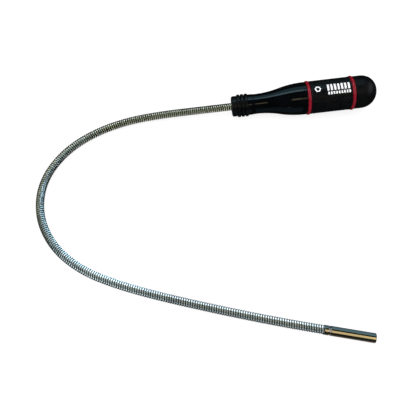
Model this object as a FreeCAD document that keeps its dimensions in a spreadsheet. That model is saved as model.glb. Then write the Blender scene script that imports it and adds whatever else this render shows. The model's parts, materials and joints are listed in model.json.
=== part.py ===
import FreeCAD, Part
import math, os
from FreeCAD import Vector, Rotation, Placement

# Flexible magnetic pick-up tool.
#
# A black torch-shaped handle carries a stay-put gooseneck made of two wires:
# a wound outer wire, 6 mm across, over an inner coil.  A chromed tube at the
# far end holds the magnet.  The tool lies on a flat surface, on its front
# O-ring and on the shaft, with the handle pitched slightly nose down.
#
# Frame: +X from the tail of the C-shaped shaft's bend towards the butt and the
# tip, +Y to the handle's side, +Z up, origin under the middle of the tool.
#
# The gooseneck bends anywhere along its length.  Here it is a chain of short
# curved lengths.  Each starts in a ball-ended dome that sits in the dished end
# of the length before it, so that the joints can turn either way.

os.makedirs("parts", exist_ok=True)
doc = FreeCAD.newDocument("pickup_tool")
sheet = doc.addObject("Spreadsheet::Sheet", "Dims")

# ---------------------------------------------------------------- dimensions
DIMS = [
    # where the handle's nose is, and how the handle points
    ("nose_x", 15.928), ("nose_y", 78.534), ("nose_z", 8.894),
    ("handle_heading", 5.155), ("handle_pitch", 4.0),
    # handle, along its own axis from the nose face
    ("handle_len", 111.5),
    ("lip_rad", 7.8), ("lip_len", 2.7),
    ("rib_rad", 8.65), ("rib_gap_rad", 7.95), ("rib_wide", 2.2), ("rib_pitch", 3.4),
    ("rib_first", 3.4), ("rib_edge", 0.35),
    ("collar_len", 12.4), ("collar_bore_rad", 5.25),
    ("spigot_rad", 5.2), ("spigot_start", 0.6),
    ("waist_rad", 7.6), ("neck_rad", 7.85), ("neck_len", 14.6), ("waist_start", 18.5),
    ("flare_rad", 12.3), ("flare_end", 55.5), ("body_edge", 0.4),
    ("ring_one_at", 58.5), ("ring_two_at", 92.0),
    ("ring_major", 11.7), ("ring_minor", 1.3), ("ring_seat_rad", 10.35), ("ring_seat_half", 1.35),
    ("core_rad", 9.0), ("core_end", 97.0),
    ("grip_rad", 12.5), ("grip_bore_rad", 9.1), ("grip_edge", 0.35),
    ("cap_rad", 12.35), ("cap_bore_end", 97.6), ("cap_hollow_rad", 6.5), ("cap_hollow_end", 106.0),
    ("body_bore_rad", 3.1), ("ferrule_seat_at", 24.0), ("ferrule_seat_rad", 4.5),
    ("ferrule_seat_end", 44.0), ("core_bore_rad", 6.4),
    ("ferrule_rad", 4.45), ("ferrule_bore_rad", 3.02), ("ferrule_start", 24.1), ("ferrule_end", 47.5),
    ("ferrule_groove", 0.4),
    ("washer_rad", 6.2), ("washer_bore_rad", 4.5), ("washer_at", 44.1), ("washer_thick", 0.8),
    ("shaft_inside", 46.5),
    # shaft
    ("wire_rad", 3.0), ("wire_bore_rad", 2.1), ("coil_rad", 2.05), ("coil_bore_rad", 1.2),
    ("dish_rad", 3.15), ("coil_gap", 3.3),
    # tip
    ("tip_rad", 3.15), ("tip_bore_rad", 2.6), ("tip_len", 33.0),
    ("crimp_at", 4.2), ("crimp_wide", 1.4), ("crimp_deep", 0.22), ("tip_edge", 0.25),
    ("stud_rad", 2.55), ("stud_pin_rad", 2.05), ("stud_pin_len", 8.6), ("stud_len", 20.8),
    ("magnet_rad", 2.55), ("magnet_len", 12.0),
]
# each curved length of the shaft: its length, how far it bends, and which way
# the bend leans (0 is to the left of the shaft as it leaves the nose, 90 is up)
LENGTHS = [
    (13.5, 0.340, 76.647), (13.6, 0.514, 40.426), (13.6, 0.477, 44.312),
    (27.2, 4.828, 7.827), (27.2, 11.973, 2.973), (13.6, 7.769, 2.355),
    (13.6, 8.660, 2.115), (27.2, 22.993, 1.505), (27.2, 30.211, 0.571),
    (27.2, 27.392, 0.0), (13.6, 11.858, 0.0), (13.6, 11.332, 0.0),
    (27.2, 16.319, 0.0), (27.2, 5.295, 0.0), (13.6, 1.396, 0.0),
    (13.6, 0.984, 0.0), (27.2, 0.921, 0.0), (27.2, 0.969, 0.0),
    (13.6, 0.633, 0.0), (13.6, 0.652, 0.0), (14.2, 0.427, 0.0),
]
# the largest turn at each joint, for the clearance that it needs (joint 1 is
# the one nearest the handle)
TURNS = [33.0, 30.0, 36.0, 41.0, 47.0, 30.0, 53.0, 60.0, 62.0, 59.0,
         30.0, 52.0, 44.0, 37.0, 30.0, 34.0, 34.0, 34.0, 30.0, 34.0]
for i, (arc, bend, lean) in enumerate(LENGTHS):
    DIMS += [("arc_len_%02d" % i, arc), ("arc_bend_%02d" % i, bend), ("arc_lean_%02d" % i, lean)]
for i, turn in enumerate(TURNS, 1):
    DIMS.append(("turn_max_%02d" % i, turn))

for row, (alias, value) in enumerate(DIMS, 1):
    sheet.set("A%d" % row, alias)
    sheet.set("B%d" % row, str(value))
    sheet.setAlias("B%d" % row, alias)
doc.recompute()


class Q:
    """A size: its present value, and the expression that drives it."""

    def __init__(self, value, text):
        self.v, self.t = float(value), text

    @staticmethod
    def of(x):
        return x if isinstance(x, Q) else Q(x, repr(float(x)))

    def __add__(self, o):
        o = Q.of(o)
        return Q(self.v + o.v, "(%s + %s)" % (self.t, o.t))

    def __sub__(self, o):
        o = Q.of(o)
        return Q(self.v - o.v, "(%s - %s)" % (self.t, o.t))

    def __mul__(self, o):
        o = Q.of(o)
        return Q(self.v * o.v, "(%s * %s)" % (self.t, o.t))

    def __truediv__(self, o):
        o = Q.of(o)
        return Q(self.v / o.v, "(%s / %s)" % (self.t, o.t))


def d(alias):
    return Q(float(sheet.get(alias)), "Dims." + alias)


NODES = []


def finish(obj, node, placement=None):
    obj.Label = node
    if placement is not None:
        obj.Placement = placement
    NODES.append(obj)
    return obj


# ------------------------------------------------------------ turned pieces
def turned(node, outline, placement, arcs=()):
    """A Body turned about its X axis.

    outline is a closed list of (along, radius).  arcs names the sides, by
    their first corner, that are circular arcs: (corner, radius, bulges out).
    """
    body = doc.addObject("PartDesign::Body", node + "_body")
    sk = body.newObject("Sketcher::SketchObject", node + "_profile")
    plane = [f for f in body.Origin.OriginFeatures if f.Role == "XY_Plane"][0]
    sk.AttachmentSupport = [(plane, "")]
    sk.MapMode = "FlatFace"
    pts = [(Q.of(a), Q.of(b)) for a, b in outline]
    n = len(pts)
    arcs = {k: (Q.of(r), out) for k, r, out in arcs}
    ends = {}
    for k in range(n):
        p = Vector(pts[k][0].v, pts[k][1].v, 0)
        q = Vector(pts[(k + 1) % n][0].v, pts[(k + 1) % n][1].v, 0)
        if k in arcs:
            rad, out = arcs[k]
            chord = q - p
            mid = (p + q) * 0.5
            drop = math.sqrt(max(rad.v ** 2 - (chord.Length / 2) ** 2, 0.0))
            side = Vector(-chord.y, chord.x, 0).normalize()
            # the centre lies on the axis side when the arc bulges outward
            if (side.y > 0) == out:
                side = side * -1
            c = mid + side * drop
            a0 = math.atan2(p.y - c.y, p.x - c.x)
            a1 = math.atan2(q.y - c.y, q.x - c.x)
            ccw = (a1 - a0) % (2 * math.pi)
            circle = Part.Circle(c, Vector(0, 0, 1), rad.v)
            if ccw <= math.pi:
                g = sk.addGeometry(Part.ArcOfCircle(circle, a0, a0 + ccw), False)
                ends[k] = (g, 1, 2)
            else:
                g = sk.addGeometry(Part.ArcOfCircle(circle, a1, a1 + 2 * math.pi - ccw), False)
                ends[k] = (g, 2, 1)
        else:
            g = sk.addGeometry(Part.LineSegment(p, q), False)
            ends[k] = (g, 1, 2)
    import Sketcher
    for k in range(n):
        g, _, e = ends[k]
        g2, b, _ = ends[(k + 1) % n]
        sk.addConstraint(Sketcher.Constraint("Coincident", g, e, g2, b))
    for k in range(n):
        g, b, _ = ends[k]
        for axis, size in (("DistanceX", pts[k][0]), ("DistanceY", pts[k][1])):
            if abs(size.v) < 1e-9:
                sk.addConstraint(Sketcher.Constraint("PointOnObject", g, b, -2 if axis == "DistanceX" else -1))
            else:
                c = sk.addConstraint(Sketcher.Constraint(axis, -1, 1, g, b, size.v))
                sk.setExpression("Constraints[%d]" % c, size.t)
    for k, (rad, out) in arcs.items():
        c = sk.addConstraint(Sketcher.Constraint("Radius", ends[k][0], rad.v))
        sk.setExpression("Constraints[%d]" % c, rad.t)
    rev = body.newObject("PartDesign::Revolution", node + "_turned")
    rev.Profile = sk
    rev.ReferenceAxis = (sk, ["H_Axis"])
    rev.Angle = 360.0
    return finish(body, node, placement)


def ring(node, major, minor, along, base):
    tor = doc.addObject("Part::Torus", node + "_ring")
    tor.setExpression("Radius1", major.t)
    tor.setExpression("Radius2", minor.t)
    return finish(tor, node, base * Placement(Vector(along.v, 0, 0), Rotation(Vector(0, 1, 0), 90)))


heading, pitch = math.radians(d("handle_heading").v), math.radians(d("handle_pitch").v)
NOSE = Vector(d("nose_x").v, d("nose_y").v, d("nose_z").v)
along = Vector(math.cos(heading) * math.cos(pitch), math.sin(heading) * math.cos(pitch), math.sin(pitch))
left = Vector(-math.sin(heading), math.cos(heading), 0)
upright = along.cross(left)
HANDLE = Placement(FreeCAD.Matrix(along.x, left.x, upright.x, NOSE.x,
                                  along.y, left.y, upright.y, NOSE.y,
                                  along.z, left.z, upright.z, NOSE.z,
                                  0, 0, 0, 1))

# --- nose collar: soft sleeve with a front lip and three ribs
e = d("rib_edge")
col = [(Q.of(0), d("collar_bore_rad")), (Q.of(0), d("lip_rad") - e), (e, d("lip_rad")),
       (d("lip_len"), d("lip_rad")), (d("lip_len"), d("rib_gap_rad") - 0.3)]
for k in range(3):
    a = d("rib_first") + d("rib_pitch") * k
    b = a + d("rib_wide")
    col += [(a, d("rib_gap_rad") - 0.3) if k == 0 else (a, d("rib_gap_rad")),
            (a, d("rib_rad") - e), (a + e, d("rib_rad")), (b - e, d("rib_rad")), (b, d("rib_rad") - e)]
    if k < 2:
        col += [(b, d("rib_gap_rad"))]
col += [(d("collar_len"), d("rib_rad") - e), (d("collar_len"), d("collar_bore_rad"))]
# the last rib runs out to the collar's end
turned("nose_collar", col, HANDLE)

# --- front body: one hard moulding, spigot, neck, waist, flare, ring seat, core
flare_dx = d("flare_end") - d("waist_start")
flare_dr = d("flare_rad") - d("waist_rad")
flare_r = (flare_dx * flare_dx + flare_dr * flare_dr) / (flare_dr * 4)
mid_x = (d("flare_end") + d("waist_start")) / 2
mid_r = (d("flare_rad") + d("waist_rad")) / 2
g = d("body_edge")
seat_a = d("ring_one_at") - d("ring_seat_half")
seat_b = d("ring_one_at") + d("ring_seat_half")
front = [
    (d("spigot_start"), d("body_bore_rad")), (d("spigot_start"), d("spigot_rad")),
    (d("collar_len") + 0.05, d("spigot_rad")), (d("collar_len") + 0.05, d("neck_rad")),
    (d("neck_len"), d("neck_rad")), (d("waist_start"), d("waist_rad")),
    (mid_x, mid_r), (d("flare_end"), d("flare_rad")),
    (seat_a - g, d("flare_rad")), (seat_a, d("flare_rad") - g), (seat_a, d("ring_seat_rad")),
    (seat_b, d("ring_seat_rad")), (seat_b, d("core_rad")), (d("core_end"), d("core_rad")),
    (d("core_end"), d("core_bore_rad")), (d("ferrule_seat_end"), d("core_bore_rad")),
    (d("ferrule_seat_end"), d("ferrule_seat_rad")), (d("ferrule_seat_at"), d("ferrule_seat_rad")),
    (d("ferrule_seat_at"), d("body_bore_rad")),
]
turned("front_body", front, HANDLE, arcs=[(5, flare_r, False), (6, flare_r, True)])

# --- grip sleeve
g = d("grip_edge")
grip_a = seat_b + 0.05
grip_b = d("ring_two_at") - d("ring_seat_half") - 0.05
turned("grip_sleeve", [
    (grip_a, d("grip_bore_rad")), (grip_a, d("grip_rad") - g), (grip_a + g, d("grip_rad")),
    (grip_b - g, d("grip_rad")), (grip_b, d("grip_rad") - g), (grip_b, d("grip_bore_rad"))], HANDLE)

# --- tail cap: neck for the rear ring, then a domed end
cap_a = d("ring_two_at") - d("ring_seat_half") + 0.05
cap_s = d("ring_two_at") + d("ring_seat_half")
dome_c = d("handle_len") - d("cap_rad")
turned("tail_cap", [
    (cap_a, d("grip_bore_rad")), (cap_a, d("ring_seat_rad")), (cap_s, d("ring_seat_rad")),
    (cap_s, d("cap_rad") - 0.3), (cap_s + 0.3, d("cap_rad")), (dome_c, d("cap_rad")),
    (d("handle_len"), Q.of(0)), (d("cap_hollow_end"), Q.of(0)),
    (d("cap_hollow_end"), d("cap_hollow_rad")), (d("cap_bore_end"), d("cap_hollow_rad")),
    (d("cap_bore_end"), d("grip_bore_rad"))], HANDLE, arcs=[(5, d("cap_rad"), True)])

# --- the two red O-rings
ring("front_o_ring", d("ring_major"), d("ring_minor"), d("ring_one_at"), HANDLE)
ring("rear_o_ring", d("ring_major"), d("ring_minor"), d("ring_two_at"), HANDLE)

# --- ferrule crimped on the shaft's end, and the push-on washer behind it
fg = d("ferrule_groove")
turned("anchor_ferrule", [
    (d("ferrule_start"), d("ferrule_bore_rad")), (d("ferrule_start"), d("ferrule_rad")),
    (d("ferrule_start") + 6, d("ferrule_rad")), (d("ferrule_start") + 6, d("ferrule_rad") - fg),
    (d("ferrule_start") + 8, d("ferrule_rad") - fg), (d("ferrule_start") + 8, d("ferrule_rad")),
    (d("ferrule_start") + 13, d("ferrule_rad")), (d("ferrule_start") + 13, d("ferrule_rad") - fg),
    (d("ferrule_start") + 15, d("ferrule_rad") - fg), (d("ferrule_start") + 15, d("ferrule_rad")),
    (d("ferrule_end"), d("ferrule_rad")), (d("ferrule_end"), d("ferrule_bore_rad"))], HANDLE)
turned("retaining_washer", [
    (d("washer_at"), d("washer_bore_rad")), (d("washer_at"), d("washer_rad")),
    (d("washer_at") + d("washer_thick"), d("washer_rad")),
    (d("washer_at") + d("washer_thick"), d("washer_bore_rad"))], HANDLE)

# ------------------------------------------------------------------- shaft
# Walk the chain of arcs from the nose: every joint's place and directions.
P, T = NOSE, along * -1
CHAIN = []
for i in range(len(LENGTHS)):
    arc, bend, lean = (float(sheet.get("arc_%s_%02d" % (k, i))) for k in ("len", "bend", "lean"))
    up = (Vector(0, 0, 1) - T * T.z).normalize()
    side = up.cross(T)
    turn, lean = math.radians(bend), math.radians(lean)
    inward = side * math.cos(lean) + up * math.sin(lean)
    radius = arc / turn
    CHAIN.append(dict(p=P, t=T, n=inward, up=up, side=side, r=radius, turn=turn, arc=arc))
    P = P + T * (radius * math.sin(turn)) + inward * (radius * (1 - math.cos(turn)))
    T = T * math.cos(turn) + inward * math.sin(turn)
TIP_P, TIP_T = P, T


def frame_of(c):
    """A length's own frame: origin at its rear joint, +Y along the shaft,
    and the centre of its bend on -X."""
    x, y = c["n"] * -1, c["t"]
    z = x.cross(y)
    p = c["p"]
    return Placement(FreeCAD.Matrix(x.x, y.x, z.x, p.x, x.y, y.y, z.y, p.y, x.z, y.z, z.z, p.z, 0, 0, 0, 1))


def clear(i):
    """How far the length stops short of joint i, so that the turn stays clear."""
    t = d("turn_max_%02d" % i)
    return Q(d("wire_rad").v * math.sin(math.radians(t.v)) + 0.25,
             "(Dims.wire_rad * sin(%s) + 0.25)" % t.t)


def bent(name, i, rad, start, end):
    """A round bar bent to length i's curve, from start to end along it."""
    c = CHAIN[i]
    arc, bend = d("arc_len_%02d" % i), d("arc_bend_%02d" % i)
    tor = doc.addObject("Part::Torus", name)
    per = bend / arc
    tor.setExpression("Radius1", (Q.of(180 / math.pi) / per).t)
    tor.setExpression("Radius2", rad.t)
    tor.setExpression("Angle3", ((end - start) * per).t)
    tor.Placement = Placement(Vector(-c["r"], 0, 0), Rotation(Vector(0, 0, 1), (start * per).v))
    return tor


def ball(name, rad, i=None):
    sph = doc.addObject("Part::Sphere", name)
    sph.setExpression("Radius", rad.t)
    if i is not None:
        c = CHAIN[i]
        sph.Placement = Placement(Vector(c["r"] * (math.cos(c["turn"]) - 1), c["r"] * math.sin(c["turn"]), 0),
                                  Rotation())
    return sph


def fuse(name, items):
    f = doc.addObject("Part::MultiFuse", name)
    f.Shapes = items
    return f


def cut(name, base, tool):
    c = doc.addObject("Part::Cut", name)
    c.Base, c.Tool = base, tool
    return c


def needs_dish(i):
    c = clear(i).v
    return c < d("dish_rad").v and math.sqrt(d("dish_rad").v ** 2 - c * c) > d("wire_bore_rad").v + 0.02


# the length that starts in the handle and shows for 13.5 mm ahead of the nose
c0 = CHAIN[0]
start0 = Q.of(0) - d("shaft_inside")


def straight(name, rad, start, end, c):
    """A round bar along a length's rear tangent."""
    cyl = doc.addObject("Part::Cylinder", name)
    cyl.setExpression("Radius", rad.t)
    cyl.setExpression("Height", (end - start).t)
    cyl.Placement = Placement(Vector(0, start.v, 0), Rotation(Vector(1, 0, 0), -90))
    return cyl


outer = fuse("root_wire_bar", [
    straight("root_wire_in", d("wire_rad"), start0, Q.of(0.2), c0),
    bent("root_wire_out", 0, d("wire_rad"), Q.of(0), d("arc_len_00") - clear(1))])
inner = [straight("root_wire_bore_in", d("wire_bore_rad"), start0 - 1, Q.of(0.1), c0),
         bent("root_wire_bore_out", 0, d("wire_bore_rad"), Q.of(0), d("arc_len_00") + 4)]
if needs_dish(1):
    inner.append(ball("root_wire_dish", d("dish_rad"), 0))
finish(cut("root_wire", outer, fuse("root_wire_bores", inner)), "wound_wire_00", frame_of(c0))

coil = straight("root_coil_bar", d("coil_rad"), start0, d("arc_len_00") - d("coil_gap"), c0)
bore = straight("root_coil_bore", d("coil_bore_rad"), start0 - 1, d("arc_len_00"), c0)
finish(cut("root_coil", coil, bore), "inner_coil_00", frame_of(c0))

last = len(LENGTHS) - 1
for i in range(1, last + 1):
    tag = "%02d" % i
    arc = d("arc_len_%02d" % i)
    stop = arc if i == last else arc - clear(i + 1)
    over = Q.of(0.5 if i == last else 4)
    solid = fuse("wire_bar_" + tag, [bent("wire_bend_" + tag, i, d("wire_rad"), Q.of(0), stop),
                                     ball("wire_dome_" + tag, d("wire_rad"))])
    tools = [bent("wire_bore_" + tag, i, d("wire_bore_rad"), Q.of(-4), arc + over)]
    if i != last and needs_dish(i + 1):
        tools.append(ball("wire_dish_" + tag, d("dish_rad"), i))
    tool = fuse("wire_tools_" + tag, tools) if len(tools) > 1 else tools[0]
    finish(cut("wire_" + tag, solid, tool), "wound_wire_" + tag, frame_of(CHAIN[i]))
    coil_end = arc - (d("coil_gap") if i != last else d("stud_pin_len") + 0.3)
    finish(cut("coil_" + tag, bent("coil_bar_" + tag, i, d("coil_rad"), Q.of(0), coil_end),
               bent("coil_bore_" + tag, i, d("coil_bore_rad"), Q.of(-1), coil_end + 1)),
           "inner_coil_" + tag, frame_of(CHAIN[i]))

# --------------------------------------------------------------------- tip
ty = Vector(0, 0, 1).cross(TIP_T).normalize()
tz = TIP_T.cross(ty)
TIP = Placement(FreeCAD.Matrix(TIP_T.x, ty.x, tz.x, TIP_P.x, TIP_T.y, ty.y, tz.y, TIP_P.y,
                               TIP_T.z, ty.z, tz.z, TIP_P.z, 0, 0, 0, 1))
a, w, h, g = d("crimp_at"), d("crimp_wide"), d("crimp_deep"), d("tip_edge")
turned("tip_tube", [
    (Q.of(0.05), d("tip_bore_rad")), (Q.of(0.05), d("tip_rad") - g), (g + 0.05, d("tip_rad")),
    (a, d("tip_rad")), (a + w * 0.3, d("tip_rad") - h), (a + w * 0.7, d("tip_rad") - h), (a + w, d("tip_rad")),
    (d("tip_len") - g, d("tip_rad")), (d("tip_len"), d("tip_rad") - g), (d("tip_len"), d("tip_bore_rad"))], TIP)
turned("tip_stud", [
    (Q.of(0) - d("stud_pin_len"), Q.of(0)), (Q.of(0) - d("stud_pin_len"), d("stud_pin_rad")),
    (Q.of(0.1), d("stud_pin_rad")), (Q.of(0.1), d("stud_rad")), (d("stud_len"), d("stud_rad")),
    (d("stud_len"), Q.of(0))], TIP)
turned("magnet", [
    (d("tip_len") - d("magnet_len"), Q.of(0)), (d("tip_len") - d("magnet_len"), d("magnet_rad")),
    (d("tip_len"), d("magnet_rad")), (d("tip_len"), Q.of(0))], TIP)

# ------------------------------------------------------------ check and write
doc.recompute()
bad = [o.Name for o in doc.Objects if any(s in o.State for s in ("Invalid", "Error"))]
if bad:
    raise SystemExit("failed objects: %s" % bad)
box = FreeCAD.BoundBox()
for obj in NODES:
    shape = obj.Shape
    if shape.isNull() or not shape.isValid() or shape.Volume <= 0:
        raise SystemExit("bad shape: " + obj.Label)
    box.add(shape.optimalBoundingBox(False, False))
for obj in NODES:
    obj.Shape.exportStep("parts/%s.step" % obj.Label)
    print("%-18s solids %d volume %9.2f" % (obj.Label, len(obj.Shape.Solids), obj.Shape.Volume))
print("nodes", len(NODES), "box", [round(v, 3) for v in (box.XMin, box.YMin, box.ZMin, box.XMax, box.YMax, box.ZMax)])
for i, c in enumerate(CHAIN):
    print("joint %02d at %s along %s up %s side %s" % (
        i, *[[round(v, 5) for v in (q.x, q.y, q.z)] for q in (c["p"], c["t"], c["up"], c["side"])]))
print("tip at", [round(v, 5) for v in TIP_P], "along", [round(v, 5) for v in TIP_T])
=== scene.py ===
import bpy, bmesh, json, math
from mathutils import Matrix, Vector

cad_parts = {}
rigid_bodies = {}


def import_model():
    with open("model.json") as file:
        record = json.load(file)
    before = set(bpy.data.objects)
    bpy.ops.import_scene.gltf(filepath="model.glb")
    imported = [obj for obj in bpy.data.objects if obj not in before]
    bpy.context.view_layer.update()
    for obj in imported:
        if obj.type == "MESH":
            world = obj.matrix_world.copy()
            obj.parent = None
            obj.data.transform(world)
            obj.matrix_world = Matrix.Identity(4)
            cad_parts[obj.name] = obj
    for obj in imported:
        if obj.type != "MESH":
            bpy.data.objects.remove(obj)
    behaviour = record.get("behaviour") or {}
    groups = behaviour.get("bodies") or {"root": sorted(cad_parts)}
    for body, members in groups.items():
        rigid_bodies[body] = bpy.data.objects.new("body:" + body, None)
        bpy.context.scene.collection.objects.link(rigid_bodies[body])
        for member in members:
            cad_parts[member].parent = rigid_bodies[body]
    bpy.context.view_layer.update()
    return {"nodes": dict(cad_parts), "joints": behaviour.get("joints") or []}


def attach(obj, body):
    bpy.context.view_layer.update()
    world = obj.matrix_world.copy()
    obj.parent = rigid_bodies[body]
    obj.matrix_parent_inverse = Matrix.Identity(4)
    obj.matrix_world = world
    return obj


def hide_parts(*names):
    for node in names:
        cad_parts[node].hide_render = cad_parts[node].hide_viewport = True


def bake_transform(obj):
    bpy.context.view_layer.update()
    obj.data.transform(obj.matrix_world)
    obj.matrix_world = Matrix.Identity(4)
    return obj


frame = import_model()
MM = 0.001


# ------------------------------------------------------------------ the frame
# The shaft's line: its lengths of arc, how far each bends, and the way the
# bend leans.  The joints sit where the lengths meet.
LENGTHS = [
    (13.5, 0.340, 76.647), (13.6, 0.514, 40.426), (13.6, 0.477, 44.312),
    (27.2, 4.828, 7.827), (27.2, 11.973, 2.973), (13.6, 7.769, 2.355),
    (13.6, 8.660, 2.115), (27.2, 22.993, 1.505), (27.2, 30.211, 0.571),
    (27.2, 27.392, 0.0), (13.6, 11.858, 0.0), (13.6, 11.332, 0.0),
    (27.2, 16.319, 0.0), (27.2, 5.295, 0.0), (13.6, 1.396, 0.0),
    (13.6, 0.984, 0.0), (27.2, 0.921, 0.0), (27.2, 0.969, 0.0),
    (13.6, 0.633, 0.0), (13.6, 0.652, 0.0), (14.2, 0.427, 0.0),
]
PITCH = 1.587            # one turn of the outer wire
INSIDE = 46.5            # shaft hidden in the handle
NOSE = Vector((15.928, 78.534, 8.894))
HEADING, TILT = math.radians(5.155), math.radians(4.0)
AX = Vector((math.cos(HEADING) * math.cos(TILT), math.sin(HEADING) * math.cos(TILT), math.sin(TILT)))
LEFT = Vector((-math.sin(HEADING), math.cos(HEADING), 0))
UPR = AX.cross(LEFT)


def basis(x, y, z, p):
    return Matrix(((x.x, y.x, z.x, p.x), (x.y, y.y, z.y, p.y), (x.z, y.z, z.z, p.z), (0, 0, 0, 1)))


HANDLE = basis(AX, LEFT, UPR, NOSE)

P, T = NOSE.copy(), -AX
CHAIN, s0 = [], 0.0
for arc, bend, lean in LENGTHS:
    u = (Vector((0, 0, 1)) - T * T.z).normalized()
    side = u.cross(T)
    turn, lean = math.radians(bend), math.radians(lean)
    inward = side * math.cos(lean) + u * math.sin(lean)
    CHAIN.append((s0, arc, P.copy(), T.copy(), inward, arc / turn))
    r = arc / turn
    P = P + T * (r * math.sin(turn)) + inward * (r * (1 - math.cos(turn)))
    T = T * math.cos(turn) + inward * math.sin(turn)
    s0 += arc
SHAFT_LEN, TIP_P, TIP_T = s0, P, T
JOINT_S = [c[0] for c in CHAIN[1:]]
for c, j in zip(CHAIN[1:], frame["joints"]):
    assert (c[2] * MM - Vector(j["pos_m"])).length < 1e-4, j["name"]


def on_shaft(s):
    """Centre and direction of the shaft's line, s mm from the nose."""
    if s <= 0:
        return NOSE - AX * s, -AX
    c = CHAIN[0]
    for c2 in CHAIN:
        if c2[0] <= s:
            c = c2
    s1, arc, p, t, n, r = c
    a = (s - s1) / r
    return p + t * (r * math.sin(a)) + n * (r * (1 - math.cos(a))), t * math.cos(a) + n * math.sin(a)


# ------------------------------------------------------------------ materials
def material(name):
    m = bpy.data.materials.new(name)
    m.use_nodes = True
    nt = m.node_tree
    for n in list(nt.nodes):
        nt.nodes.remove(n)
    out = nt.nodes.new("ShaderNodeOutputMaterial")
    bsdf = nt.nodes.new("ShaderNodeBsdfPrincipled")
    nt.links.new(bsdf.outputs[0], out.inputs[0])
    return m, nt, bsdf


def node(nt, kind, **kw):
    n = nt.nodes.new(kind)
    for k, v in kw.items():
        if k.startswith("_"):
            setattr(n, k[1:], v)
        else:
            n.inputs[k.replace("__", " ")].default_value = v
    return n


def coords(nt, scale=1.0):
    t = nt.nodes.new("ShaderNodeTexCoord")
    mp = nt.nodes.new("ShaderNodeMapping")
    if isinstance(scale, (int, float)):
        scale = (scale, scale, scale)
    mp.inputs["Scale"].default_value = scale
    nt.links.new(t.outputs["Object"], mp.inputs[0])
    return mp


def ramp(nt, src, stops):
    r = nt.nodes.new("ShaderNodeValToRGB")
    nt.links.new(src, r.inputs[0])
    els = r.color_ramp.elements
    while len(els) > 1:
        els.remove(els[-1])
    els[0].position, els[0].color = stops[0][0], stops[0][1]
    for pos, col in stops[1:]:
        e = els.new(pos)
        e.color = col
    return r


def grey(v, a=1.0):
    return (v, v, v, a)


def noise(nt, mp, scale, detail=3.0, rough=0.5):
    n = nt.nodes.new("ShaderNodeTexNoise")
    n.inputs["Scale"].default_value = scale
    n.inputs["Detail"].default_value = detail
    n.inputs["Roughness"].default_value = rough
    nt.links.new(mp.outputs[0], n.inputs["Vector"])
    return n


def bump(nt, bsdf, height, strength, dist):
    b = nt.nodes.new("ShaderNodeBump")
    b.inputs["Strength"].default_value = strength
    b.inputs["Distance"].default_value = dist
    nt.links.new(height, b.inputs["Height"])
    nt.links.new(b.outputs[0], bsdf.inputs["Normal"])
    return b


def make_body_gloss():
    m, nt, b = material("front_gloss_black")
    mp = coords(nt)
    n1 = noise(nt, mp, 90, 4, 0.55)
    c = ramp(nt, n1.outputs[0], [(0.35, (0.0006, 0.0009, 0.0012, 1)), (0.65, (0.0014, 0.0020, 0.0028, 1))])
    nt.links.new(c.outputs[0], b.inputs["Base Color"])
    n2 = noise(nt, mp, 420, 5, 0.6)
    r = ramp(nt, n2.outputs[0], [(0.3, grey(0.05)), (0.7, grey(0.085))])
    nt.links.new(r.outputs[0], b.inputs["Roughness"])
    b.inputs["IOR"].default_value = 1.5
    n3 = noise(nt, mp, 260, 2, 0.5)
    bump(nt, b, n3.outputs[0], 0.06, 0.0004)
    return m


def make_grip():
    m, nt, b = material("grip_matte_black")
    mp = coords(nt)
    n1 = noise(nt, mp, 160, 4, 0.6)
    c = ramp(nt, n1.outputs[0], [(0.3, (0.0012, 0.0012, 0.0014, 1)), (0.7, (0.0036, 0.0035, 0.0040, 1))])
    nt.links.new(c.outputs[0], b.inputs["Base Color"])
    n2 = noise(nt, mp, 900, 3, 0.6)
    r = ramp(nt, n2.outputs[0], [(0.3, grey(0.26)), (0.7, grey(0.46))])
    nt.links.new(r.outputs[0], b.inputs["Roughness"])
    b.inputs["IOR"].default_value = 1.5
    b.inputs["Specular IOR Level"].default_value = 0.36
    n3 = noise(nt, mp, 2600, 3, 0.6)
    bump(nt, b, n3.outputs[0], 0.35, 0.00006)
    return m


def make_collar():
    m, nt, b = material("collar_rubber")
    mp = coords(nt)
    n1 = noise(nt, mp, 200, 4, 0.6)
    c = ramp(nt, n1.outputs[0], [(0.3, (0.0012, 0.0013, 0.0015, 1)), (0.7, (0.0034, 0.0036, 0.0040, 1))])
    nt.links.new(c.outputs[0], b.inputs["Base Color"])
    n2 = noise(nt, mp, 700, 3, 0.6)
    r = ramp(nt, n2.outputs[0], [(0.3, grey(0.22)), (0.7, grey(0.36))])
    nt.links.new(r.outputs[0], b.inputs["Roughness"])
    b.inputs["Specular IOR Level"].default_value = 0.34
    n3 = noise(nt, mp, 1800, 3, 0.6)
    bump(nt, b, n3.outputs[0], 0.25, 0.00005)
    return m


def make_ring():
    m, nt, b = material("ring_crimson")
    mp = coords(nt)
    n1 = noise(nt, mp, 240, 4, 0.6)
    c = ramp(nt, n1.outputs[0], [(0.3, (0.19, 0.003, 0.011, 1)), (0.7, (0.29, 0.007, 0.021, 1))])
    nt.links.new(c.outputs[0], b.inputs["Base Color"])
    n2 = noise(nt, mp, 800, 3, 0.6)
    r = ramp(nt, n2.outputs[0], [(0.3, grey(0.18)), (0.7, grey(0.30))])
    nt.links.new(r.outputs[0], b.inputs["Roughness"])
    n3 = noise(nt, mp, 1500, 3, 0.6)
    bump(nt, b, n3.outputs[0], 0.2, 0.00004)
    b.inputs["Subsurface Weight"].default_value = 0.05
    b.inputs["Subsurface Radius"].default_value = (0.001, 0.0003, 0.0003)
    return m


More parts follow.
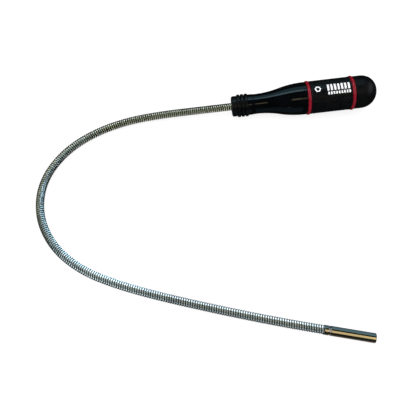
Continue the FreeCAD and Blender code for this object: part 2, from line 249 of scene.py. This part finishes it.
def make_print():
    m, nt, b = material("print_white")
    mp = coords(nt)
    n1 = noise(nt, mp, 1500, 4, 0.6)
    c = ramp(nt, n1.outputs[0], [(0.3, (0.78, 0.79, 0.80, 1)), (0.7, (0.88, 0.88, 0.88, 1))])
    nt.links.new(c.outputs[0], b.inputs["Base Color"])
    n2 = noise(nt, mp, 900, 3, 0.6)
    r = ramp(nt, n2.outputs[0], [(0.3, grey(0.4)), (0.7, grey(0.55))])
    nt.links.new(r.outputs[0], b.inputs["Roughness"])
    return m


def make_wire():
    m, nt, b = material("wound_wire_steel")
    mp = coords(nt)
    n1 = noise(nt, mp, 70, 4, 0.6)
    n2 = noise(nt, mp, 1400, 4, 0.6)
    # height on the ridge, stored on the mesh: 0 in the groove, 1 on the crest; it drives painted shade in the base
    # colour
    at = nt.nodes.new("ShaderNodeAttribute")
    at.attribute_name = "ridge"
    # painted shade: the base colour goes near black down in the groove between the wires and light on the crest
    groove_painted_shade = ramp(nt, at.outputs["Fac"], [(0.0, (0.02, 0.019, 0.016, 1)), (0.30, (0.12, 0.118, 0.108, 1)),
                                        (0.68, (0.90, 0.90, 0.88, 1))])
    tint = ramp(nt, n1.outputs[0], [(0.3, (0.80, 0.83, 0.86, 1)), (0.7, (1.0, 0.99, 0.95, 1))])
    mix = nt.nodes.new("ShaderNodeMix")
    mix.data_type = "RGBA"
    mix.blend_type = "MULTIPLY"
    mix.inputs["Factor"].default_value = 1.0
    nt.links.new(groove_painted_shade.outputs[0], mix.inputs["A"])
    nt.links.new(tint.outputs[0], mix.inputs["B"])
    nt.links.new(mix.outputs["Result"], b.inputs["Base Color"])
    b.inputs["Metallic"].default_value = 1.0
    r = ramp(nt, n2.outputs[0], [(0.3, grey(0.29)), (0.7, grey(0.36))])
    nt.links.new(r.outputs[0], b.inputs["Roughness"])
    bump(nt, b, n2.outputs[0], 0.12, 0.00003)
    return m


def make_chrome():
    m, nt, b = material("tip_chrome")
    mp = coords(nt)
    n1 = noise(nt, mp, 500, 4, 0.6)
    c = ramp(nt, n1.outputs[0], [(0.3, (0.70, 0.71, 0.72, 1)), (0.7, (0.80, 0.80, 0.80, 1))])
    nt.links.new(c.outputs[0], b.inputs["Base Color"])
    b.inputs["Metallic"].default_value = 1.0
    n2 = noise(nt, mp, 900, 3, 0.6)
    r = ramp(nt, n2.outputs[0], [(0.3, grey(0.07)), (0.7, grey(0.14))])
    nt.links.new(r.outputs[0], b.inputs["Roughness"])
    return m


def make_nickel():
    m, nt, b = material("magnet_nickel")
    mp = coords(nt)
    n1 = noise(nt, mp, 600, 4, 0.6)
    c = ramp(nt, n1.outputs[0], [(0.3, (0.50, 0.49, 0.46, 1)), (0.7, (0.66, 0.65, 0.61, 1))])
    nt.links.new(c.outputs[0], b.inputs["Base Color"])
    b.inputs["Metallic"].default_value = 1.0
    n2 = noise(nt, mp, 1300, 3, 0.6)
    r = ramp(nt, n2.outputs[0], [(0.3, grey(0.22)), (0.7, grey(0.38))])
    nt.links.new(r.outputs[0], b.inputs["Roughness"])
    bump(nt, b, n2.outputs[0], 0.15, 0.00003)
    return m


def make_steel():
    m, nt, b = material("ferrule_steel")
    mp = coords(nt)
    n1 = noise(nt, mp, 600, 4, 0.6)
    c = ramp(nt, n1.outputs[0], [(0.3, (0.38, 0.38, 0.38, 1)), (0.7, (0.52, 0.52, 0.51, 1))])
    nt.links.new(c.outputs[0], b.inputs["Base Color"])
    b.inputs["Metallic"].default_value = 1.0
    r = ramp(nt, n1.outputs[0], [(0.3, grey(0.3)), (0.7, grey(0.45))])
    nt.links.new(r.outputs[0], b.inputs["Roughness"])
    return m


GLOSS, GRIP, COLLAR, RING = make_body_gloss(), make_grip(), make_collar(), make_ring()
PRINT, WIRE, CHROME, NICKEL, STEEL = make_print(), make_wire(), make_chrome(), make_nickel(), make_steel()


# ------------------------------------------------------------------ mesh tools
def mesh_object(name, verts, faces, mat, smooth=True, sharp=None):
    me = bpy.data.meshes.new(name)
    me.from_pydata([tuple(v) for v in verts], [], faces)
    me.update()
    ob = bpy.data.objects.new(name, me)
    bpy.context.scene.collection.objects.link(ob)
    me.materials.append(mat)
    if smooth:
        me.polygons.foreach_set("use_smooth", [True] * len(me.polygons))
    if sharp:
        me.set_sharp_from_angle(angle=math.radians(sharp))
    return ob


def rounded(pts, steps=5):
    """A closed outline (u, r, fillet) with each corner rounded by its fillet."""
    out, n = [], len(pts)
    for i in range(n):
        p = Vector(pts[i][:2])
        f = pts[i][2] if len(pts[i]) > 2 else 0.0
        if f <= 0:
            out.append((p.x, p.y))
            continue
        a, b = Vector(pts[i - 1][:2]) - p, Vector(pts[(i + 1) % n][:2]) - p
        la, lb = a.length, b.length
        a.normalize(), b.normalize()
        ang = a.angle(b)
        if ang > math.pi - 0.02:
            out.append((p.x, p.y))
            continue
        back = min(f / math.tan(ang / 2), la * 0.48, lb * 0.48)
        f = back * math.tan(ang / 2)
        c = p + (a + b).normalized() * (f / math.sin(ang / 2))
        q0, q1 = p + a * back - c, p + b * back - c
        t0, t1 = math.atan2(q0.y, q0.x), math.atan2(q1.y, q1.x)
        d = (t1 - t0 + math.pi) % (2 * math.pi) - math.pi
        for k in range(steps + 1):
            t = t0 + d * k / steps
            out.append((c.x + f * math.cos(t), c.y + f * math.sin(t)))
    return out


def lathe(name, outline, place, mat, seg=96, shape=None, sharp=40):
    """A closed turned piece.  outline is a closed list of (along, radius)."""
    verts, faces, rows = [], [], []
    for u, r in outline:
        if r < 1e-6:
            rows.append([len(verts)])
            verts.append((u, 0, 0))
            continue
        row = []
        for k in range(seg):
            a = 2 * math.pi * k / seg
            rr = r + (shape(u, r, a) if shape else 0.0)
            row.append(len(verts))
            verts.append((u, rr * math.cos(a), rr * math.sin(a)))
        rows.append(row)
    n = len(rows)
    for i in range(n):
        a, b = rows[i], rows[(i + 1) % n]
        if len(a) == 1 and len(b) == 1:
            continue
        for k in range(seg):
            k2 = (k + 1) % seg
            if len(a) == 1:
                faces.append((a[0], b[k2], b[k]))
            elif len(b) == 1:
                faces.append((a[k], a[k2], b[0]))
            else:
                faces.append((a[k], a[k2], b[k2], b[k]))
    m = Matrix.Scale(MM, 4) @ place
    ob = mesh_object(name, [m @ Vector(v) for v in verts], faces, mat, True, sharp)
    bm = bmesh.new()
    bm.from_mesh(ob.data)
    bmesh.ops.recalc_face_normals(bm, faces=bm.faces)
    bm.to_mesh(ob.data)
    bm.free()
    return ob


# ------------------------------------------------------------------ the shaft
def profile(ph):
    """Radius of the wound wires at phase ph, 0 to 1, and the height 0 to 1.

    A round wire stands proud, and a wedge-shaped wire fills the gap beside it.
    """
    x = (ph % 1.0 - 0.5) * PITCH
    half = 0.56
    if abs(x) < half:
        r = 2.47 + 0.53 * math.sqrt(max(half * half - x * x, 0.0)) / half
    else:
        w = (abs(x) - half) / (PITCH / 2 - half)
        r = 2.47 + 0.15 * math.sin(math.pi / 2 * min(1.0, w * 1.4))
    return r, (r - 2.47) / 0.53


def wound(name, s_a, s_b, per_turn=16, around=32):
    n = max(2, int(round((s_b - s_a) / PITCH * per_turn)))
    verts, faces, high = [], [], []
    ref = None
    for i in range(n + 1):
        s = s_a + (s_b - s_a) * i / n
        c, t = on_shaft(s)
        side = Vector((0, 0, 1)).cross(t).normalized()
        upv = t.cross(side)
        for k in range(around):
            a = 2 * math.pi * k / around
            r, h = profile(s / PITCH - k / around)
            verts.append((c + (side * math.cos(a) + upv * math.sin(a)) * r) * MM)
            high.append(h)
    for i in range(n):
        for k in range(around):
            k2 = (k + 1) % around
            faces.append((i * around + k, (i + 1) * around + k, (i + 1) * around + k2, i * around + k2))
    # flat ends
    for i, flip in ((0, False), (n, True)):
        ring = [i * around + k for k in range(around)]
        faces.append(tuple(ring if not flip else reversed(ring)))
    ob = mesh_object(name, verts, faces, WIRE)
    me = ob.data
    at = me.attributes.new("ridge", "FLOAT", "POINT")
    at.data.foreach_set("value", high)
    bm = bmesh.new()
    bm.from_mesh(me)
    bmesh.ops.recalc_face_normals(bm, faces=bm.faces)
    for f in bm.faces:
        if len(f.verts) > 4:
            f.smooth = False
            for e in f.edges:
                e.smooth = False
    bm.to_mesh(me)
    bm.free()
    return ob


MID = [c[0] + c[1] / 2 for c in CHAIN]
first = wound("shaft_root", -INSIDE, MID[0])
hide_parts("wound_wire_00", "inner_coil_00")
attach(first, "handle")
SHAFT = []
for k in range(1, 21):
    ob = wound("shaft_bend_%02d" % k, MID[k - 1], MID[k])
    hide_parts("wound_wire_%02d" % k, "inner_coil_%02d" % k)
    SHAFT.append(ob)
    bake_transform(ob)
end = wound("shaft_end", MID[20], SHAFT_LEN)
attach(end, "shaft_20")

# ------------------------------------------------------------------ the handle
H = HANDLE


def collar_outline():
    o = [(0, 5.25, 0.15), (0, 7.75, 1.5), (3.4, 7.85, 0.4), (3.75, 7.65, 0.2)]
    for k in range(3):
        a = 4.35 + 2.95 * k
        o += [(a - 0.15, 7.65, 0.3), (a, 8.68, 0.62), (a + 2.15, 8.68, 0.62)]
        o += [(a + 2.25, 7.65, 0.3)] if k < 2 else []
    o += [(12.4, 8.3, 0.25), (12.4, 5.25, 0)]
    return rounded(o, 6)


col = lathe("nose_collar_ribbed", collar_outline(), H, COLLAR, 128)
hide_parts("nose_collar")
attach(col, "handle")

WAIST, FLARE = (18.5, 7.6), (55.5, 12.3)
dx, dr = FLARE[0] - WAIST[0], FLARE[1] - WAIST[1]
R_S = (dx * dx + dr * dr) / (4 * dr)


def flare_r(u):
    if u <= WAIST[0]:
        w = min(1.0, max(0.0, (u - 14.2) / (WAIST[0] - 14.2)))
        return 7.85 - 0.25 * (w * w * (3 - 2 * w))
    if u >= FLARE[0]:
        return FLARE[1]
    if u < (WAIST[0] + FLARE[0]) / 2:
        return WAIST[1] + R_S - math.sqrt(R_S ** 2 - (u - WAIST[0]) ** 2)
    return FLARE[1] - R_S + math.sqrt(R_S ** 2 - (FLARE[0] - u) ** 2)


body = [(0.6, 3.1), (0.6, 5.2), (12.45, 5.2), (12.45, 7.6), (12.55, 7.8), (12.75, 7.85)]
body += [(u, flare_r(u)) for u in [13.0 + 0.5 * i for i in range(88)]]
body += rounded([(56.6, 12.3, 0), (57.15, 12.3, 0.45), (57.15, 10.35, 0)], 6)[:-1]
body += [(57.15, 10.35), (59.85, 10.35), (59.85, 9.0), (97.0, 9.0), (97.0, 6.4), (44.0, 6.4),
         (44.0, 4.5), (24.0, 4.5), (24.0, 3.1)]
fb = lathe("front_body_moulding", body, H, GLOSS, 160)
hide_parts("front_body")
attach(fb, "handle")


# fine diamond knurl on the grip, with a smooth panel for the mark
def smoothstep(a, b, x):
    w = min(1.0, max(0.0, (x - a) / (b - a)))
    return w * w * (3 - 2 * w)


def panel(u, a):
    """1 on the smooth panel under the mark, 0 on the knurl."""
    d = (a - math.radians(PANEL_MID) + math.pi) % (2 * math.pi) - math.pi
    arc = abs(d) * 12.5
    inside_u = smoothstep(60.9, 61.5, u) * (1 - smoothstep(89.6, 90.0, u))
    return inside_u * (1 - smoothstep(PANEL_HALF, PANEL_HALF + 0.6, arc))


PANEL_MID, PANEL_HALF = 105.0, 6.2


def knurl(u, r, a):
    if r < 12.3:
        return 0.0
    n = 56
    x, y = u / 1.4, a * n / (2 * math.pi)
    h = (0.5 + 0.5 * math.cos(2 * math.pi * (x * 0.5 + y * 0.5))) * (0.5 + 0.5 * math.cos(2 * math.pi * (x * 0.5 - y * 0.5)))
    g = h ** 0.5
    edge = smoothstep(60.3, 60.8, u) * (1 - smoothstep(89.7, 90.2, u))
    return (-0.34 + 0.34 * g) * edge * (1 - panel(u, a)) - 0.10 * panel(u, a)


gl = [(59.9, 9.1)] + rounded([(59.9, 10.0, 0), (59.9, 12.5, 0.4), (60.5, 12.5, 0)], 5)[1:-1]
gl += [(60.35 + 0.175 * i, 12.5) for i in range(170)]
gl += rounded([(90.2, 12.5, 0), (90.6, 12.5, 0.35), (90.6, 10.0, 0)], 5)[1:-1] + [(90.6, 9.1)]
grip = lathe("grip_sleeve_knurled", gl, H, GRIP, 448, knurl)
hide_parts("grip_sleeve")
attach(grip, "handle")

# tail cap: same black, fine pebble on the dome
cap = [(90.7, 9.1), (90.7, 10.35), (93.35, 10.35)]
cap += rounded([(93.35, 10.4, 0), (93.35, 12.35, 0.4), (94.5, 12.35, 0)], 5)[1:-1]
cap += [(94.0 + 0.25 * i, 12.35) for i in range(21)]
for i in range(1, 60):
    w = 1 - (1 - i / 60) ** 2
    cap.append((99.15 + 12.35 * w, 12.35 * (1 - w ** 2.12) ** (1 / 2.12)))
cap += [(111.5, 0.0), (106.0, 0.0), (106.0, 6.5), (97.6, 6.5), (97.6, 9.1)]
tail = lathe("tail_cap_domed", cap, H, GRIP, 256)
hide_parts("tail_cap")
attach(tail, "handle")


def o_ring(name, at, cad):
    o = [(at + 1.3 * math.cos(t), 11.7 + 1.3 * math.sin(t)) for t in [2 * math.pi * i / 40 for i in range(40)]]
    ob = lathe(name, o, H, RING, 160)
    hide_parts(cad)
    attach(ob, "handle")
    return ob


ring1 = o_ring("o_ring_front", 58.5, "front_o_ring")
ring2 = o_ring("o_ring_rear", 92.0, "rear_o_ring")


# the mark: a plain hexagon and rows of dashes, printed on the panel
def curved_patch(name, rows):
    """Closed patches from rows of (u0, u1, arc) that share their long edges."""
    verts, faces = [], []
    mid = math.radians(PANEL_MID)
    top, low = 12.5 - 0.10 + 0.05, 12.5 - 0.10 - 0.05
    for patch in rows:
        o = len(verts)
        n = len(patch)
        for u0, u1, s in patch:
            a = mid + s / 12.4
            for u, rr in ((u0, low), (u1, low), (u0, top), (u1, top)):
                verts.append((u, rr * math.cos(a), rr * math.sin(a)))
        for i in range(n - 1):
            p, q = o + 4 * i, o + 4 * (i + 1)
            faces += [(p + 2, p + 3, q + 3, q + 2), (p, q, q + 1, p + 1), (p, p + 2, q + 2, q), (p + 1, q + 1, q + 3, p + 3)]
        faces += [(o, o + 1, o + 3, o + 2), (o + 4 * (n - 1), o + 4 * (n - 1) + 2, o + 4 * (n - 1) + 3, o + 4 * (n - 1) + 1)]
    m = Matrix.Scale(MM, 4) @ H
    ob = mesh_object(name, [m @ Vector(v) for v in verts], faces, PRINT, False)
    bm = bmesh.new()
    bm.from_mesh(ob.data)
    bmesh.ops.recalc_face_normals(bm, faces=bm.faces)
    bm.to_mesh(ob.data)
    bm.free()
    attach(ob, "handle")
    return ob


def dash(u0, u1, sa, sb):
    k = max(1, int(math.ceil(abs(sb - sa) / 0.5)))
    return [(u0, u1, sa + (sb - sa) * i / k) for i in range(k + 1)]


marks = []
for k in range(7):
    u = 72.0 + 2.58 * k
    marks.append(dash(u, u + 1.5, -4.2, 0.8))
for k in range(9):
    u = 72.3 + 1.96 * k
    marks.append(dash(u, u + 1.2, 1.8, 3.8))
dashes = curved_patch("print_dashes", marks)

# hexagon outline, as six closed bars
hu, hs, ro, ri = 65.0, -1.3, 2.45, 1.4
verts, faces = [], []
mid = math.radians(PANEL_MID)
top, low = 12.45, 12.35
for k in range(6):
    for t in range(5):
        a0 = math.radians(60 * k)
        a1 = math.radians(60 * (k + 1))
        f = t / 5
        for rad in (ri, ro):
            x = rad * (math.cos(a0) * (1 - f) + math.cos(a1) * f)
            y = rad * (math.sin(a0) * (1 - f) + math.sin(a1) * f)
            for rr in (low, top):
                a = mid + (hs + y) / 12.4
                verts.append((hu + x, rr * math.cos(a), rr * math.sin(a)))
n = 30
for i in range(n):
    p, q = 4 * i, 4 * ((i + 1) % n)
    faces += [(p + 1, p + 3, q + 3, q + 1), (p, q, q + 2, p + 2), (p, p + 1, q + 1, q), (p + 2, q + 2, q + 3, p + 3)]
m = Matrix.Scale(MM, 4) @ H
hx = mesh_object("print_hexagon", [m @ Vector(v) for v in verts], faces, PRINT, False)
bm = bmesh.new()
bm.from_mesh(hx.data)
bmesh.ops.recalc_face_normals(bm, faces=bm.faces)
bm.to_mesh(hx.data)
bm.free()
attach(hx, "handle")

# ------------------------------------------------------------------ the tip
ty = Vector((0, 0, 1)).cross(TIP_T).normalized()
TIP = basis(TIP_T, ty, TIP_T.cross(ty), TIP_P)
tube = rounded([
    (0.05, 2.6, 0), (0.05, 3.15, 0.22), (2.0, 3.15, 0), (2.9, 3.15, 0.6), (3.4, 2.9, 0.6),
    (3.9, 2.9, 0.6), (4.4, 3.15, 0.6), (12.0, 3.15, 0), (33.0, 3.15, 0.22), (33.0, 2.6, 0.08)], 6)
tt = lathe("tip_tube_chromed", tube, TIP, CHROME, 96)
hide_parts("tip_tube")
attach(tt, "shaft_20")
mg = lathe("magnet_rod", [(21.0, 0.0)] + rounded([(21.0, 1.0, 0), (21.0, 2.55, 0.2), (32.98, 2.55, 0.25), (32.98, 1.0, 0)], 5)[1:-1] + [(32.98, 0.0)],
           TIP, NICKEL, 96)
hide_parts("magnet")
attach(mg, "shaft_20")

for name in ("anchor_ferrule", "retaining_washer", "tip_stud"):
    o = frame["nodes"][name]
    o = bpy.data.objects[o] if isinstance(o, str) else o
    for s_ in range(len(o.material_slots)):
        o.material_slots[s_].material = STEEL
    if not o.material_slots:
        o.data.materials.append(STEEL)

# ------------------------------------------------------------------ the stage
def floor():
    me = bpy.data.meshes.new("floor")
    me.from_pydata([(-3, -3, 0), (3, -3, 0), (3, 3, 0), (-3, 3, 0)], [], [(0, 1, 2, 3)])
    ob = bpy.data.objects.new("floor", me)
    bpy.context.scene.collection.objects.link(ob)
    mt, nt, b = material("floor_pale")
    b.inputs["Base Color"].default_value = (0.20, 0.20, 0.20, 1)
    b.inputs["Roughness"].default_value = 0.9
    b.inputs["Emission Color"].default_value = (1, 1, 1, 1)
    b.inputs["Emission Strength"].default_value = 0.86
    b.inputs["Specular IOR Level"].default_value = 0.0
    me.materials.append(mt)
    ob.visible_glossy = False
    ob.visible_shadow = False


floor()


def area(name, loc, look, size, power, color=(1, 1, 1), size_y=None, gloss=True):
    li = bpy.data.lights.new(name, "AREA")
    li.energy = power
    li.color = color
    li.shape = "RECTANGLE"
    li.size, li.size_y = size, size_y or size
    ob = bpy.data.objects.new(name, li)
    bpy.context.scene.collection.objects.link(ob)
    ob.location = loc
    d = Vector(look) - Vector(loc)
    ob.rotation_euler = d.to_track_quat("-Z", "Y").to_euler()
    ob.visible_glossy = gloss
    return ob


# one wide soft light from above fills the set and whitens the floor
area("fill_wide", (0.1, -0.1, 2.2), (0, 0, 0), 2.6, 58, (1.0, 1.0, 1.0), 2.6, gloss=False)

def panel_light(name, deg0, deg1, x0, x1, glow, far_=3.0):
    """A far panel that only the gloss shows: its place in degrees from the
    front horizon over the top, its reach to the left and right, its glow."""
    xc = (x0 + x1) / 2
    flat = math.sqrt(1 - xc * xc)
    t = math.radians((deg0 + deg1) / 2)
    d = Vector((xc, -math.cos(t) * flat, math.sin(t) * flat))
    w, h = far_ * (x1 - x0) / flat, far_ * math.radians(deg1 - deg0) * flat
    top_ = max(glow)
    ob = area(name, d * far_, (0, 0, 0), w, top_ * math.pi * w * h, tuple(c / top_ for c in glow), h)
    # long side across the set
    q = (-d).to_track_quat("-Z", "Y")
    z = d
    x = Vector((1, 0, 0)) - z * z.x
    x.normalize()
    y = z.cross(x)
    ob.rotation_euler = Matrix((x, y, z)).transposed().to_euler()
    ob.visible_diffuse = False
    return ob


def keep_for(name, pieces, panels):
    """Flags the panels off everything but the pieces."""
    only = bpy.data.collections.new(name)
    for ob in pieces:
        only.objects.link(ob)
    for ob in panels:
        ob.light_linking.receiver_collection = only


# the handle shows a warm strip in front of it, a cool one behind, a dim table
keep_for("handle_pieces", [col, fb, grip, tail, ring1, ring2, dashes, hx], [
    panel_light("warm_front", 50, 60, -0.10, 0.12, (1.30, 1.08, 0.70)),
    panel_light("warm_front_rim", 50, 60, 0.12, 0.24, (0.70, 0.58, 0.36)),
    panel_light("cool_behind_low", 109, 122, -0.60, 0.10, (1.05, 1.72, 2.00)),
    panel_light("cool_behind_rim", 109, 122, 0.10, 0.22, (0.60, 0.95, 1.10)),
    panel_light("cool_behind_high", 122, 150, -0.60, 0.22, (0.20, 0.44, 0.52)),
    panel_light("cool_table", -56, -8, -0.50, 0.30, (0.05, 0.10, 0.14)),
    panel_light("handle_side_left", 35, 150, -0.97, -0.72, (0.75, 0.85, 0.90)),
    panel_light("handle_side_right", 35, 150, 0.72, 0.97, (0.75, 0.85, 0.90)),
])
# the chromed tip shows a warm panel in front of it and a cool one behind
keep_for("tip_pieces", [tt, mg], [
    panel_light("tip_warm", 38, 86, 0.02, 0.38, (0.72, 0.54, 0.24)),
    panel_light("tip_warm_right", 38, 86, 0.38, 0.70, (1.05, 0.80, 0.38)),
    panel_light("tip_cool", 118, 150, -0.10, 0.70, (0.11, 0.19, 0.19)),
    panel_light("tip_cool_low", 150, 205, -0.10, 0.70, (0.07, 0.14, 0.18)),
    panel_light("tip_table", -75, -20, -0.10, 0.70, (0.10, 0.08, 0.055)),
    panel_light("tip_side_left", 20, 165, -0.95, -0.30, (0.42, 0.44, 0.46)),
    panel_light("tip_side_right", 5, 165, 0.80, 0.98, (0.55, 0.54, 0.50)),
    panel_light("tip_side_low", -60, 0, -0.95, -0.30, (0.16, 0.15, 0.14)),
])

# the wound shaft's front run shows a white panel behind it, its back run a
# dimmer one, its bend a blue one; the runs overlap, so the change is gradual
PIECES = [first] + SHAFT + [end]


def shaft_lights(name, runs, panels):
    # the shares of a panel stand a little apart, since a ray shows only the
    # first of two panels that coincide
    for n, (a, b, share) in enumerate(runs):
        keep_for("%s_%d" % (name, n), PIECES[a:b + 1],
                 [panel_light("%s_light" % name, deg0, deg1, x0, x1,
                              tuple(c * share for c in glow), 3.0 + 0.04 * n)
                  for deg0, deg1, x0, x1, glow in panels])


shaft_lights("front_run", [(10, 21, 0.1), (11, 21, 0.2), (12, 21, 0.3), (13, 21, 0.4)], [
    (-20, 12, -1.5, 1.5, (0.65, 0.78, 0.86)),
    (12, 50, -1.5, 1.5, (0.07, 0.09, 0.07)),
    (50, 80, -1.5, 1.5, (0.55, 0.61, 0.57)),
    (80, 100, -1.5, 1.5, (0.20, 0.25, 0.19)),
    (122, 145, -1.5, 1.5, (1.92, 2.22, 2.32)),
    (145, 170, -1.5, 1.5, (1.75, 2.10, 2.40)),
    (170, 205, -1.5, 1.5, (0.55, 0.70, 0.85)),
])
shaft_lights("back_run", [(0, 10, 0.2), (0, 9, 0.25), (0, 8, 0.25), (0, 7, 0.3)], [
    (-75, -20, -0.90, -0.15, (1.53, 1.55, 1.31)),
    (12, 50, -0.90, -0.15, (1.08, 1.15, 0.73)),
    (50, 80, -0.90, -0.15, (0.28, 0.32, 0.21)),
    (100, 122, -0.90, -0.15, (4.13, 4.57, 3.95)),
])
shaft_lights("bend", [(6, 15, 0.2), (7, 14, 0.25), (8, 13, 0.25), (9, 12, 0.3)], [
    (-20, 12, 0.15, 0.50, (3.98, 4.77, 4.90)),
    (12, 50, 0.15, 0.50, (0.32, 0.74, 0.94)),
    (80, 100, 0.15, 0.50, (2.13, 2.96, 3.46)),
    (100, 122, 0.15, 0.50, (1.20, 1.15, 0.90)),
    (122, 145, 0.15, 0.50, (3.23, 4.47, 5.65)),
    (170, 205, 0.15, 0.50, (4.97, 9.47, 12.28)),
])

# the room that the gloss shows, and a plain white one for everything else
world = bpy.data.worlds.new("studio")
bpy.context.scene.world = world
world.use_nodes = True
wn = world.node_tree
for n in list(wn.nodes):
    wn.nodes.remove(n)
wout = wn.nodes.new("ShaderNodeOutputWorld")
room = wn.nodes.new("ShaderNodeBackground")
room.inputs[0].default_value = (0.012, 0.013, 0.011, 1)
plain = wn.nodes.new("ShaderNodeBackground")
plain.inputs[0].default_value = (0.95, 0.97, 1.0, 1)
plain.inputs[1].default_value = 0.5
white = wn.nodes.new("ShaderNodeBackground")
white.inputs[0].default_value = (0.95, 0.95, 0.95, 1)
lp = wn.nodes.new("ShaderNodeLightPath")
mx = wn.nodes.new("ShaderNodeMixShader")
wn.links.new(lp.outputs["Is Glossy Ray"], mx.inputs[0])
wn.links.new(plain.outputs[0], mx.inputs[1])
wn.links.new(room.outputs[0], mx.inputs[2])
mx2 = wn.nodes.new("ShaderNodeMixShader")
wn.links.new(lp.outputs["Is Camera Ray"], mx2.inputs[0])
wn.links.new(mx.outputs[0], mx2.inputs[1])
wn.links.new(white.outputs[0], mx2.inputs[2])
wn.links.new(mx2.outputs[0], wout.inputs[0])

cam = bpy.data.cameras.new("camera")
cam.sensor_width = 36.0
cam.lens = 500.0 * 36.0 / 407.0
cam.clip_start, cam.clip_end = 0.01, 20
co = bpy.data.objects.new("camera", cam)
bpy.context.scene.collection.objects.link(co)
TAU = math.radians(25.0)
D = 325.7 / math.cos(TAU)
co.location = Vector((-5.911, -1.797 - D * math.sin(TAU), 3.28 + D * math.cos(TAU))) * MM
co.rotation_euler = (TAU, 0, 0)
bpy.context.scene.camera = co
bpy.context.scene.view_settings.view_transform = "Standard"
